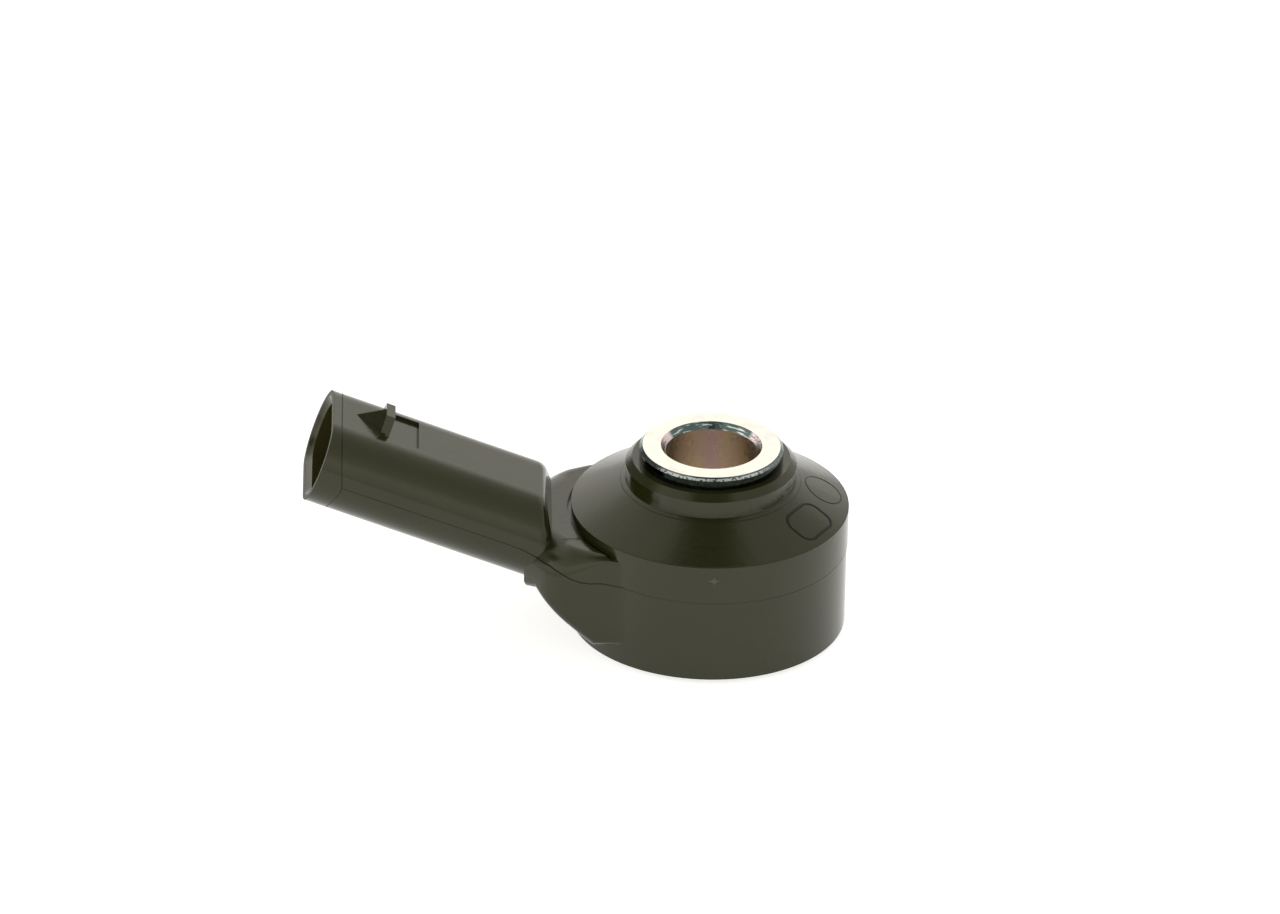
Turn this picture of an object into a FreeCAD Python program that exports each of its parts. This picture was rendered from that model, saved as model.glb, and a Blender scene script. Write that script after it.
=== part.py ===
import FreeCAD, Part
import math
import os
import re
import Sketcher

# Engine knock sensor: a ring of piezo ceramic clamped on a steel sleeve and moulded into a
# plastic housing, with a plug socket on one side.
# Frame: origin at the middle of the bore on the flange's base face, +Z up the bore,
# -X towards the mouth of the plug socket. Millimetres and degrees.

SIZES = [
    # steel sleeve
    ("bore_radius", 4.2, "clearance bore for an M8 bolt"),
    ("sleeve_radius", 6.6, "outside of the sleeve"),
    ("sleeve_height", 18.0, "base face to top face"),
    ("sleeve_edge", 0.3, "chamfer on the top outer edge"),
    ("bore_lead_wide", 0.45, "lead-in chamfer at the top of the bore, across"),
    ("bore_lead_deep", 0.6, "lead-in chamfer at the top of the bore, along"),
    ("flange_radius", 10.0, "base flange of the sleeve"),
    ("flange_thickness", 3.0, "base flange of the sleeve"),
    ("flange_proud", 0.5, "how far the flange stands out below the plastic"),
    # clamped stack, from the flange up
    ("tube_wall", 0.7, "insulating tube round the sleeve"),
    ("stack_radius", 9.6, "washers, contact rings, piezo ring and seismic mass"),
    ("insulator_thickness", 0.5, "insulating washers"),
    ("contact_thickness", 0.3, "contact rings"),
    ("piezo_thickness", 2.8, "piezo ring"),
    ("mass_clearance", 0.1, "between the sleeve and the mass or spring"),
    ("spring_rise", 0.75, "height of the disc spring as clamped"),
    ("spring_sheet", 0.4, "sheet thickness of the disc spring"),
    ("nut_radius", 8.8, "clamping nut and disc spring"),
    ("nut_height", 1.5, "clamping nut"),
    ("nut_cover", 1.95, "from the top of the nut up to the collar's foot"),
    ("nut_slot_width", 1.6, "spanner slot in the nut"),
    ("nut_slot_depth", 0.9, "spanner slot in the nut"),
    # moulded body
    ("body_radius", 12.65, "body below the parting line"),
    ("belt_step", 0.08, "how much wider the body is above the parting line"),
    ("parting_height", 8.4, "parting line round the body"),
    ("sleeve_proud", 1.2, "how far the sleeve stands out above the collar"),
    ("collar_wall", 1.25, "plastic round the sleeve in the collar"),
    ("collar_rise", 2.2, "collar above its foot"),
    ("collar_edge", 0.6, "chamfer on the collar"),
    ("cone_rise", 2.5, "slope of the body's top, from its outer edge to the collar"),
    # neck between body and socket
    ("neck_drop", 0.85, "flat top of the neck below the body's outer edge"),
    ("neck_floor", 2.0, "lowest level of the neck's side walls"),
    ("neck_half_width", 9.45, "neck beside the body"),
    ("neck_blend", 3.0, "radius of the hollow corner between the body and the neck"),
    ("blend_bite", 0.01, "how far that hollow corner runs into the body"),
    ("shoulder_bend", 3.5, "radius of the bend in the neck's side walls"),
    ("shoulder_turn", 53.0, "turn of that bend, degrees"),
    ("end_run", 1.5, "from that bend to the neck's front end under the socket"),
    ("foot_groove", 0.4, "groove in the neck's top along the body's wall, across and deep"),
    ("edge_at_body", 0.8, "rounding of the neck's top edge beside the body"),
    ("edge_at_shoulder", 2.3, "that rounding where the side walls start to bend"),
    ("edge_at_waist", 3.3, "that rounding from the end of the bend on"),
    ("lower_edge", 0.8, "rounding of the neck's lower edge"),
    ("keel_start", 1.95, "where the neck's underside leaves the body, in from its outside"),
    ("keel_bend", 60.0, "bend of the neck's underside"),
    ("heel_run", 1.4, "end of that bend, back from the neck's front end"),
    ("heel_height", 6.6, "end of that bend"),
    ("chin_run", 0.4, "end of the flat chin, back from the neck's front end"),
    ("chin_height", 6.1, "end of the flat chin"),
    ("chin_rise", 0.8, "slanted front of the chin"),
    # plug socket
    ("socket_tilt", 20.7, "rise of the socket's axis, degrees"),
    ("mouth_reach", 35.9, "middle of the mouth, from the bore"),
    ("axis_drop", 1.69, "socket's axis below the neck's top, at the socket's rear foot"),
    ("socket_wide", 13.35, "outside width of the socket"),
    ("socket_tall", 7.85, "outside height of the socket"),
    ("socket_wall", 1.0, "wall of the socket"),
    ("socket_depth", 14.0, "depth of the socket"),
    ("mouth_lead", 0.5, "lead-in chamfer inside the mouth"),
    ("plate_length", 1.77, "flat top of the neck between the body and the socket"),
    ("rear_lean", 13.0, "lean of the socket's rear end, degrees"),
    ("rear_edge", 1.3, "rounding of the socket's rear edge"),
    # latch nose on the socket
    ("nose_start", 2.25, "tip of the nose, behind the mouth"),
    ("nose_ramp", 2.35, "length of the ramp"),
    ("nose_crest", 0.85, "length of the crest"),
    ("nose_aside", 0.55, "nose and rest off the middle of the socket"),
    ("nose_height", 1.5, "height of the crest"),
    ("nose_crest_width", 2.4, "width of the crest"),
    ("nose_foot_width", 4.2, "width of the foot under the crest"),
    ("nose_ramp_width", 3.6, "width of the ramp's foot where it meets the crest"),
    ("rest_length", 3.3, "shallow rest behind the nose"),
    ("rest_width", 5.1, "shallow rest behind the nose"),
    ("rest_depth", 0.3, "shallow rest behind the nose"),
    # terminals and resistor
    ("pin_spacing", 5.0, "between the two terminals"),
    ("pin_width", 2.2, "terminal strip"),
    ("pin_sheet", 0.6, "terminal strip"),
    ("pin_setback", 6.8, "terminal tip behind the mouth"),
    ("pin_taper", 0.7, "length of the tapered tip"),
    ("riser_gap", 1.6, "between the stack and the terminals' upright"),
    ("foot_length", 1.0, "welded foot of a terminal"),
    ("resistor_place", 18.2, "resistor behind the mouth"),
    ("resistor_radius", 0.75, "resistor"),
    ("resistor_length", 2.2, "resistor"),
    ("lead_size", 0.4, "flattened resistor lead"),
    ("lead_span", 6.6, "over the ends of both leads"),
]
SIZE_NAMES = [row[0] for row in SIZES]

doc = FreeCAD.newDocument("knock_sensor")
sheet = doc.addObject("Spreadsheet::Sheet", "Sizes")
for row, (name, value, meaning) in enumerate(SIZES, start=1):
    sheet.set(f"A{row}", name)
    sheet.set(f"B{row}", str(value))
    sheet.set(f"C{row}", meaning)
    sheet.setAlias(f"B{row}", name)
doc.recompute()


def cells(formula):
    """The formula with each size name pointed at its cell of the sheet."""
    return re.sub(r"[a-z_]+", lambda word: "Sizes." + word[0] if word[0] in SIZE_NAMES else word[0], formula)


def number(formula):
    """The value of a formula now."""
    return float(sheet.evalExpression(re.sub(r"Sizes\.", "", cells(formula))))


def bind(thing, **formulas):
    """Tie properties of an object to the sheet. A double underscore stands for a dot."""
    for name, formula in formulas.items():
        thing.setExpression(name.replace("__", "."), cells(formula))


def make_body(name):
    return doc.addObject("PartDesign::Body", name)


def sketch_on(body, role, name, base=None, turn=None):
    """A sketch on one of the body's own origin planes, moved by base and turned by turn."""
    sketch = body.newObject("Sketcher::SketchObject", name)
    plane = [feature for feature in body.Origin.OriginFeatures if feature.Role == role][0]
    sketch.AttachmentSupport = (plane, "")
    sketch.MapMode = "FlatFace"
    if turn:
        axis, angle = turn
        rotation = FreeCAD.Rotation(FreeCAD.Vector(*axis), number(angle))
        sketch.AttachmentOffset = FreeCAD.Placement(FreeCAD.Vector(), rotation)
        sketch.setExpression("AttachmentOffset.Rotation.Angle", cells(angle))
    for letter, formula in zip("xyz", base or ()):
        if formula != "0":
            sketch.setExpression(f"AttachmentOffset.Base.{letter}", cells(formula))
    return sketch


def pin_point(sketch, geometry, end, across, along):
    """Hold one end of a sketch line at two distances from the sketch's origin."""
    for kind, formula in (("DistanceX", across), ("DistanceY", along)):
        index = sketch.addConstraint(Sketcher.Constraint(kind, -1, 1, geometry, end, number(formula)))
        sketch.setExpression(f"Constraints[{index}]", cells(formula))


def outline(sketch, corners):
    """Close a loop through the corners. A corner is (x, y) or (x, y, radius): with a radius, the
    way to the next corner is an arc that bulges to the right of the way it goes, or to the left
    where a fourth value says "hollow"."""
    places = [FreeCAD.Vector(number(corner[0]), number(corner[1]), 0) for corner in corners]
    first = sketch.GeometryCount
    starts = []
    for index, corner in enumerate(corners):
        here, there = places[index], places[(index + 1) % len(corners)]
        if len(corner) == 2:
            sketch.addGeometry(Part.LineSegment(here, there), False)
            starts.append(1)
            continue
        if corner[3:] == ("hollow",):
            here, there = there, here
        radius, half = number(corner[2]), here.distanceToPoint(there) / 2
        aside = FreeCAD.Vector(here.y - there.y, there.x - here.x, 0).normalize()
        centre = (here + there) / 2 + aside * math.sqrt(radius * radius - half * half)
        sketch.addGeometry(Part.Arc(here, centre - aside * radius, there), False)
        arc = sketch.Geometry[sketch.GeometryCount - 1]
        starts.append(1 if arc.StartPoint.distanceToPoint(places[index]) < 1e-6 else 2)
    for index, corner in enumerate(corners):
        geometry, follower = first + index, first + (index + 1) % len(corners)
        pin_point(sketch, geometry, starts[index], corner[0], corner[1])
        sketch.addConstraint(Sketcher.Constraint(
            "Coincident", geometry, 3 - starts[index], follower, starts[(index + 1) % len(corners)]))
        if len(corner) > 2:
            tie = sketch.addConstraint(Sketcher.Constraint("Radius", geometry, number(corner[2])))
            sketch.setExpression(f"Constraints[{tie}]", cells(corner[2]))


def mirrored(half):
    """A loop that is the same on both sides of the sketch's first axis, from its upper half."""
    back = []
    for index in range(len(half) - 1, -1, -1):
        x, y = half[index][:2]
        bend = half[index - 1][2:] if index else ()
        back.append((x, f"-({y})") + tuple(bend))
    return list(half[:-1]) + [half[-1][:2]] + back


def circle(sketch, radius, x="0", y="0"):
    centre = FreeCAD.Vector(number(x), number(y), 0)
    geometry = sketch.addGeometry(Part.Circle(centre, FreeCAD.Vector(0, 0, 1), number(radius)), False)
    pin_point(sketch, geometry, 3, x, y)
    tie = sketch.addConstraint(Sketcher.Constraint("Radius", geometry, number(radius)))
    sketch.setExpression(f"Constraints[{tie}]", cells(radius))


def revolve(body, name, corners, cut=False):
    """Turn a profile of (radius, height) corners about the bore's axis."""
    sketch = sketch_on(body, "XZ_Plane", name + "_profile")
    outline(sketch, corners)
    turned = body.newObject("PartDesign::Groove" if cut else "PartDesign::Revolution", name)
    turned.Profile = sketch
    turned.ReferenceAxis = (sketch, ["V_Axis"])
    turned.Angle = 360
    doc.recompute()
    return turned


def extrude(body, name, sketch, length, cut=False, both_sides=False, reverse=False):
    """Pad or pocket a sketch by a length along its normal, or half each way."""
    feature = body.newObject("PartDesign::Pocket" if cut else "PartDesign::Pad", name)
    feature.Profile = sketch
    feature.Type = "Length"
    feature.SideType = "Symmetric" if both_sides else "One side"
    feature.Reversed = reverse
    bind(feature, Length=length)
    doc.recompute()
    return feature


def loft(body, name, kind, first, last):
    """Join two sketches with straight sides, adding to the body or cutting it."""
    feature = body.newObject(f"PartDesign::{kind}Loft", name)
    feature.Profile = first
    feature.Sections = [last]
    feature.Ruled = True
    doc.recompute()


def round_edges(body, name, radius, wanted):
    """Round the edges of the body's last feature that wanted(edge) picks."""
    base = body.Tip
    picked = [f"Edge{i}" for i, edge in enumerate(base.Shape.Edges, start=1) if wanted(edge)]
    feature = body.newObject("PartDesign::Fillet", name)
    feature.Base = (base, picked)
    bind(feature, Radius=radius)
    doc.recompute()
    return feature


def level(edge, height):
    """Whether the whole edge lies at one height."""
    return abs(edge.BoundBox.ZMin - height) < 1e-4 and abs(edge.BoundBox.ZMax - height) < 1e-4


# Levels and distances that follow from the sizes
COLLAR_TOP = "(sleeve_height - sleeve_proud)"
COLLAR_FOOT = f"({COLLAR_TOP} - collar_rise)"
CONE_EDGE = f"({COLLAR_FOOT} - cone_rise)"
NECK_TOP = f"({CONE_EDGE} - neck_drop)"
COLLAR_RADIUS = "(sleeve_radius + collar_wall)"
BELT_RADIUS = "(body_radius + belt_step)"
FLANGE_TOP = "flange_thickness"
LOWER_INSULATOR_TOP = FLANGE_TOP + " + insulator_thickness"
LOWER_CONTACT_TOP = LOWER_INSULATOR_TOP + " + contact_thickness"
PIEZO_TOP = LOWER_CONTACT_TOP + " + piezo_thickness"
UPPER_CONTACT_TOP = PIEZO_TOP + " + contact_thickness"
UPPER_INSULATOR_TOP = UPPER_CONTACT_TOP + " + insulator_thickness"
NUT_TOP = f"({COLLAR_FOOT} - nut_cover)"
SPRING_TOP = f"({NUT_TOP} - nut_height)"
MASS_TOP = f"({SPRING_TOP} - spring_rise)"
TUBE_RADIUS = "sleeve_radius + tube_wall"
LOOSE_RADIUS = "sleeve_radius + mass_clearance"
RISER_INNER = "(stack_radius + riser_gap)"
RISER_OUTER = f"({RISER_INNER} + pin_sheet)"
REAR_FOOT = f"({BELT_RADIUS} + plate_length)"
WAIST = f"({BELT_RADIUS} + shoulder_bend * sin(shoulder_turn))"
WAIST_HALF = "(neck_half_width - shoulder_bend * (1 - cos(shoulder_turn)))"
NECK_END = f"({WAIST} + end_run)"
END_HALF = f"({WAIST_HALF} - end_run * tan(shoulder_turn))"
MOUTH_HEIGHT = f"({NECK_TOP} - axis_drop + (mouth_reach - {REAR_FOOT}) * tan(socket_tilt))"
SOCKET_LENGTH = f"(mouth_reach - {REAR_FOOT}) / cos(socket_tilt) + socket_tall / 2"


# Places along the socket: s is the way from the mouth towards the body along the socket's axis,
# and c the height above that axis, square to it.
def socket_x(s, c):
    return f"(-mouth_reach + ({s}) * cos(socket_tilt) + ({c}) * sin(socket_tilt))"


def socket_z(s, c):
    return f"({MOUTH_HEIGHT} - ({s}) * sin(socket_tilt) + ({c}) * cos(socket_tilt))"


def across_socket(body, name, s):
    """A sketch square to the socket's axis: first axis +Y, second axis up."""
    base = ("0", socket_z(s, "0"), socket_x(s, "0"))
    return sketch_on(body, "YZ_Plane", name, base, ((1, 0, 0), "socket_tilt"))


def along_socket(body, name, c):
    """A sketch level with the socket's axis at height c: first axis towards the body."""
    base = (socket_x("0", c), "0", socket_z("0", c))
    return sketch_on(body, "XY_Plane", name, base, ((0, 1, 0), "socket_tilt"))


def beside_socket(body, name, y):
    """An upright sketch along the part at distance y to the right of its middle plane."""
    return sketch_on(body, "XZ_Plane", name, ("0", "0", f"-({y})"))


# Sleeve
def make_sleeve():
    body = make_body("sleeve")
    revolve(body, "turned_sleeve", [
        ("bore_radius", "0"), ("flange_radius", "0"), ("flange_radius", FLANGE_TOP),
        ("sleeve_radius", FLANGE_TOP), ("sleeve_radius", "sleeve_height - sleeve_edge"),
        ("sleeve_radius - sleeve_edge", "sleeve_height"),
        ("bore_radius + bore_lead_wide", "sleeve_height"),
        ("bore_radius", "sleeve_height - bore_lead_deep")])
    return body


# Clamped stack
def make_washer(name, inner, outer, floor, ceiling):
    body = make_body(name)
    revolve(body, name + "_ring", [(inner, floor), (outer, floor), (outer, ceiling), (inner, ceiling)])
    return body


def make_contact_ring(name, floor, side):
    """A contact washer with a tab under the foot of the terminal on its side, -1 or 1."""
    body = make_washer(name, TUBE_RADIUS, "stack_radius", floor, f"{floor} + contact_thickness")
    sketch = sketch_on(body, "XY_Plane", name + "_tab_outline", ("0", "0", floor))
    inner_y, outer_y = (f"{side} * (pin_spacing {sign} pin_width) / 2" for sign in "-+")
    inside = f"-({TUBE_RADIUS} + stack_radius) / 2"
    outside = f"-{RISER_OUTER}"
    outline(sketch, [(inside, inner_y), (inside, outer_y), (outside, outer_y), (outside, inner_y)])
    extrude(body, name + "_tab", sketch, "contact_thickness")
    return body


def make_disc_spring():
    body = make_body("disc_spring")
    revolve(body, "spring_cone", [
        (LOOSE_RADIUS, SPRING_TOP + " - spring_sheet"), ("nut_radius", MASS_TOP),
        ("nut_radius", MASS_TOP + " + spring_sheet"), (LOOSE_RADIUS, SPRING_TOP)])
    return body


def make_clamping_nut():
    body = make_washer("clamping_nut", "sleeve_radius", "nut_radius", SPRING_TOP, NUT_TOP)
    sketch = sketch_on(body, "XY_Plane", "slot_outline", ("0", "0", NUT_TOP))
    inside, outside = "nut_radius - nut_slot_depth", "nut_radius + nut_slot_depth"
    half = "nut_slot_width / 2"
    outline(sketch, [(inside, "-" + half), (outside, "-" + half), (outside, half), (inside, half)])
    slot = extrude(body, "slot", sketch, "nut_height", cut=True)
    ring = body.newObject("PartDesign::PolarPattern", "slots")
    ring.Originals = [slot]
    ring.Axis = (sketch, ["N_Axis"])
    ring.Angle = 360
    ring.Occurrences = 4
    body.Tip = ring
    doc.recompute()
    return body


# Terminals and resistor
def make_terminal(name, side, tab_top):
    """A stamped strip: blade in the socket, upright beside the stack, foot on a contact tab."""
    def strip_z(x, face):
        axis_z = f"{MOUTH_HEIGHT} - ({x} + mouth_reach) * tan(socket_tilt)"
        return f"{axis_z} {face} pin_sheet / 2 / cos(socket_tilt)"

    def blade(s, c):
        return socket_x(s, c), socket_z(s, c)

    body = make_body(name)
    sketch = beside_socket(body, name + "_side", f"{side} * pin_spacing / 2")
    outer, inner, toe = f"-{RISER_OUTER}", f"-{RISER_INNER}", f"-({RISER_INNER} - foot_length)"
    foot_top = f"{tab_top} + pin_sheet"
    half, thin = "pin_sheet / 2", "pin_sheet / 6"
    shoulder = "pin_setback + pin_taper"
    outline(sketch, [
        blade("pin_setback", "-" + thin), blade(shoulder, "-" + half), (outer, strip_z(outer, "-")),
        (outer, tab_top), (toe, tab_top), (toe, foot_top), (inner, foot_top),
        (inner, strip_z(inner, "+")), blade(shoulder, half), blade("pin_setback", thin)])
    extrude(body, name + "_strip", sketch, "pin_width", both_sides=True)
    return body


def make_resistor():
    body = make_body("discharge_resistor")
    seat = "pin_sheet / 2"
    middle = seat + " + lead_size / 2"
    barrel = beside_socket(body, "barrel_outline", "0")
    circle(barrel, "resistor_radius", socket_x("resistor_place", middle), socket_z("resistor_place", middle))
    extrude(body, "barrel", barrel, "resistor_length", both_sides=True)
    leads = beside_socket(body, "lead_outline", "0")
    near, far = "resistor_place - lead_size / 2", "resistor_place + lead_size / 2"
    top = seat + " + lead_size"
    corners = [(near, seat), (far, seat), (far, top), (near, top)]
    outline(leads, [(socket_x(s, c), socket_z(s, c)) for s, c in corners])
    extrude(body, "leads", leads, "lead_span", both_sides=True)
    return body


# Housing
def socket_section(sketch, inset):
    """Flat top and bottom with half-round sides, drawn inset inside the socket's outside form."""
    across, radius = "(socket_wide - socket_tall) / 2", f"(socket_tall / 2 - ({inset}))"
    outline(sketch, [
        (f"-{across}", f"-{radius}"), (across, f"-{radius}", radius),
        (f"{across} + {radius}", "0", radius), (across, radius),
        (f"-{across}", radius, radius), (f"-({across} + {radius})", "0", radius)])


# Hollow corner between the body and the neck: an arc that touches the neck's side wall and a
# circle just inside the body. It starts at that circle and ends at the wall.
CORNER_RIM = "(body_radius - blend_bite)"
CORNER_Y = "(neck_half_width + neck_blend)"
CORNER_END = f"sqrt(({CORNER_RIM} + neck_blend)^2 - {CORNER_Y}^2)"
RIM_SHARE = f"{CORNER_RIM} / ({CORNER_RIM} + neck_blend)"
CORNER_START = f"{CORNER_END} * {RIM_SHARE}"


def make_neck_block():
    body = make_body("neck_block")
    plan = sketch_on(body, "XY_Plane", "neck_plan", ("0", "0", NECK_TOP))
    outline(plan, mirrored([
        ("-bore_radius", WAIST_HALF),
        (f"-{CORNER_START}", f"{CORNER_Y} * {RIM_SHARE}", "neck_blend", "hollow"),
        (f"-{CORNER_END}", "neck_half_width"), (f"-{BELT_RADIUS}", "neck_half_width", "shoulder_bend"),
        (f"-{WAIST}", WAIST_HALF), (f"-{NECK_END}", END_HALF)]))
    extrude(body, "block", plan, f"{NECK_TOP} - neck_floor", reverse=True)
    side = sketch_on(body, "XZ_Plane", "underside")
    keel_x, beyond = "-(body_radius - keel_start)", f"-({NECK_END} + socket_wall)"
    below, chin_top = "neck_floor - socket_wall", "chin_height + chin_rise"
    outline(side, [
        (keel_x, below), (beyond, below), (beyond, chin_top), (f"-{NECK_END}", chin_top),
        (f"-({NECK_END} - chin_run)", "chin_height"),
        (f"-({NECK_END} - heel_run)", "heel_height", "keel_bend"), (keel_x, "neck_floor")])
    extrude(body, "underside_cut", side, "4 * neck_half_width", cut=True, both_sides=True)
    return body


def at_neck_side(edge):
    """Whether the edge runs along one side of the neck, outside the body."""
    box = edge.BoundBox
    return box.XMax < -number(CORNER_START) + 1e-4 and box.XLength > 1e-3 and box.YMin * box.YMax > 0


def top_edge_radius(x):
    """Rounding of the neck's top edge at a distance x from the bore, growing towards the socket."""
    steps = [(CORNER_END, "edge_at_body"), (BELT_RADIUS, "edge_at_shoulder"), (WAIST, "edge_at_waist")]
    (near, low), *rest = [(number(place), number(size)) for place, size in steps]
    for far, high in rest:
        if x < far:
            return low + (high - low) * max(x - near, 0) / (far - near)
        near, low = far, high
    return low


def round_with(name, base, wanted, radius_at):
    """Round the edges of base that wanted(edge) picks, with a radius for each of their ends.
    A run of edges takes its direction from the one that is named first, so the edges come in
    order from the socket towards the body."""
    picked = [(index, edge) for index, edge in enumerate(base.Shape.Edges, start=1) if wanted(edge)]
    rows = []
    for index, edge in sorted(picked, key=lambda pair: pair[1].BoundBox.XMin):
        first, last = (edge.valueAt(end) for end in (edge.FirstParameter, edge.LastParameter))
        rows.append((index, radius_at(-first.x), radius_at(-last.x)))
    rounded = doc.addObject("Part::Fillet", name)
    rounded.Base = base
    rounded.Edges = rows
    doc.recompute()
    return rounded


def make_neck():
    block = make_neck_block()
    top, highest = number(NECK_TOP), number("heel_height") + 1e-4
    foremost = -number(f"{NECK_END} - chin_run") - 1e-4
    softened = round_with(
        "softened_top", block, lambda edge: at_neck_side(edge) and level(edge, top), top_edge_radius)

    def at_keel(edge):
        return at_neck_side(edge) and edge.BoundBox.ZMax < highest and edge.BoundBox.XMin > foremost

    return round_with("neck", softened, at_keel, lambda x: number("lower_edge"))


def make_socket():
    body = make_body("socket")
    mouth = across_socket(body, "mouth_section", "0")
    socket_section(mouth, "0")
    extrude(body, "socket_shell", mouth, SOCKET_LENGTH)
    rear = sketch_on(body, "XZ_Plane", "rear_trim")
    low, high = rear_x("0"), rear_x(MOUTH_HEIGHT)
    outline(rear, [(low, "0"), ("0", "0"), ("0", MOUTH_HEIGHT), (high, MOUTH_HEIGHT)])
    extrude(body, "rear_cut", rear, "2 * socket_wide", cut=True, both_sides=True)
    round_edges(body, "rear_edges", "rear_edge", at_rear_end)
    add_nose(body)
    add_socket_hollow(body)
    return body


def rear_x(z):
    return f"(-{REAR_FOOT} - ({z} - {NECK_TOP}) * tan(rear_lean))"


def at_rear_end(edge):
    """Whether the edge bounds the socket's leaning rear end."""
    ends = [vertex.Point for vertex in edge.Vertexes]
    return all(abs(end.x - number(rear_x(str(end.z)))) < 1e-4 for end in ends)


def make_ring():
    body = make_body("ring")
    inside = "(bore_radius + sleeve_radius) / 2"
    revolve(body, "ring_solid", [
        (inside, "flange_proud"), ("body_radius", "flange_proud"), ("body_radius", "parting_height"),
        (BELT_RADIUS, "parting_height"), (BELT_RADIUS, CONE_EDGE), (COLLAR_RADIUS, COLLAR_FOOT),
        (COLLAR_RADIUS, f"{COLLAR_TOP} - collar_edge"), (f"{COLLAR_RADIUS} - collar_edge", COLLAR_TOP),
        (inside, COLLAR_TOP)])
    return body


def add_nose(body):
    """Latch nose with a ramp that rises to its crest, and a shallow rest behind it."""
    def aside(width):
        return f"nose_aside - {width} / 2", f"nose_aside + {width} / 2"

    top = "socket_tall / 2"
    sunk = f"{top} - rest_depth - socket_wall / 4"
    peak = f"{top} + nose_height"
    crest_start = "nose_start + nose_ramp"
    plan = along_socket(body, "rest_outline", top)
    start = crest_start + " + nose_crest / 2"
    near, far = aside("rest_width")
    end = start + " + rest_length"
    outline(plan, [(start, near), (end, near), (end, far), (start, far)])
    extrude(body, "rest", plan, "rest_depth", cut=True)
    crest = across_socket(body, "crest_section", crest_start)
    foot, edge = aside("nose_foot_width"), aside("nose_crest_width")
    outline(crest, [(foot[0], sunk), (foot[1], sunk), (edge[1], peak), (edge[0], peak)])
    extrude(body, "crest", crest, "nose_crest")
    wide = across_socket(body, "ramp_back", crest_start)
    near, far = aside("nose_ramp_width")
    outline(wide, [(near, sunk), (far, sunk), ("nose_aside", peak)])
    tip = across_socket(body, "ramp_tip", "nose_start")
    point = "nose_crest / 20"
    outline(tip, [
        (f"nose_aside - {point}", f"{top} - {point}"), (f"nose_aside + {point}", f"{top} - {point}"),
        ("nose_aside", top)])
    loft(body, "ramp", "Additive", wide, tip)


def add_socket_hollow(body):
    hollow = across_socket(body, "hollow_section", "0")
    socket_section(hollow, "socket_wall")
    extrude(body, "hollow", hollow, "socket_depth", cut=True, reverse=True)
    lead = across_socket(body, "lead_section", "mouth_lead")
    socket_section(lead, "socket_wall")
    rim = across_socket(body, "rim_section", "0")
    socket_section(rim, "socket_wall - mouth_lead")
    loft(body, "mouth_lead_in", "Subtractive", lead, rim)


def make_stack_space():
    """The space in the plastic that the clamped stack fills."""
    body = make_body("stack_space")
    inside = "(bore_radius + sleeve_radius) / 2"
    revolve(body, "stack_space_solid", [
        (inside, FLANGE_TOP), ("stack_radius", FLANGE_TOP), ("stack_radius", MASS_TOP),
        ("nut_radius", MASS_TOP), ("nut_radius", NUT_TOP), (inside, NUT_TOP)])
    return body


def make_housing(inner_pieces):
    moulding = doc.addObject("Part::MultiFuse", "moulding")
    moulding.Shapes = [make_ring(), make_neck(), make_socket()]
    groove = make_washer(
        "groove", BELT_RADIUS, f"{BELT_RADIUS} + foot_groove", f"{NECK_TOP} - foot_groove", NECK_TOP)
    inside = doc.addObject("Part::MultiFuse", "filled_space")
    inside.Shapes = [make_stack_space(), groove] + inner_pieces
    housing = doc.addObject("Part::Cut", "housing")
    housing.Base = moulding
    housing.Tool = inside
    doc.recompute()
    return housing


sleeve = make_sleeve()
insulating_tube = make_washer(
    "insulating_tube", "sleeve_radius", TUBE_RADIUS, FLANGE_TOP, UPPER_INSULATOR_TOP)
lower_insulator = make_washer(
    "lower_insulator", TUBE_RADIUS, "stack_radius", FLANGE_TOP, LOWER_INSULATOR_TOP)
lower_contact_ring = make_contact_ring("lower_contact_ring", LOWER_INSULATOR_TOP, -1)
piezo_ring = make_washer("piezo_ring", TUBE_RADIUS, "stack_radius", LOWER_CONTACT_TOP, PIEZO_TOP)
upper_contact_ring = make_contact_ring("upper_contact_ring", PIEZO_TOP, 1)
upper_insulator = make_washer(
    "upper_insulator", TUBE_RADIUS, "stack_radius", UPPER_CONTACT_TOP, UPPER_INSULATOR_TOP)
seismic_mass = make_washer("seismic_mass", LOOSE_RADIUS, "stack_radius", UPPER_INSULATOR_TOP, MASS_TOP)
disc_spring = make_disc_spring()
clamping_nut = make_clamping_nut()
terminal_pin_left = make_terminal("terminal_pin_left", -1, LOWER_CONTACT_TOP)
terminal_pin_right = make_terminal("terminal_pin_right", 1, UPPER_CONTACT_TOP)
discharge_resistor = make_resistor()
housing = make_housing([
    sleeve, lower_contact_ring, upper_contact_ring, terminal_pin_left, terminal_pin_right,
    discharge_resistor])

SUB_PARTS = [
    housing, sleeve, insulating_tube, lower_insulator, lower_contact_ring, piezo_ring, upper_contact_ring,
    upper_insulator, seismic_mass, disc_spring, clamping_nut, terminal_pin_left, terminal_pin_right,
    discharge_resistor]

for thing in doc.Objects:
    if "Invalid" in thing.State or "Error" in thing.State:
        raise RuntimeError(f"{thing.Label} failed: {thing.State}")
os.makedirs("parts", exist_ok=True)
for piece in SUB_PARTS:
    if piece.Shape.isNull() or not piece.Shape.isValid() or len(piece.Shape.Solids) != 1:
        raise RuntimeError(f"{piece.Label} is not one valid solid")
    piece.Placement = FreeCAD.Placement()
for piece in SUB_PARTS:
    piece.Shape.exportStep(f"parts/{piece.Label}.step")
    print(piece.Label, round(piece.Shape.Volume, 2))
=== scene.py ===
import math

import bpy
from mathutils import Matrix, Vector


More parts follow.
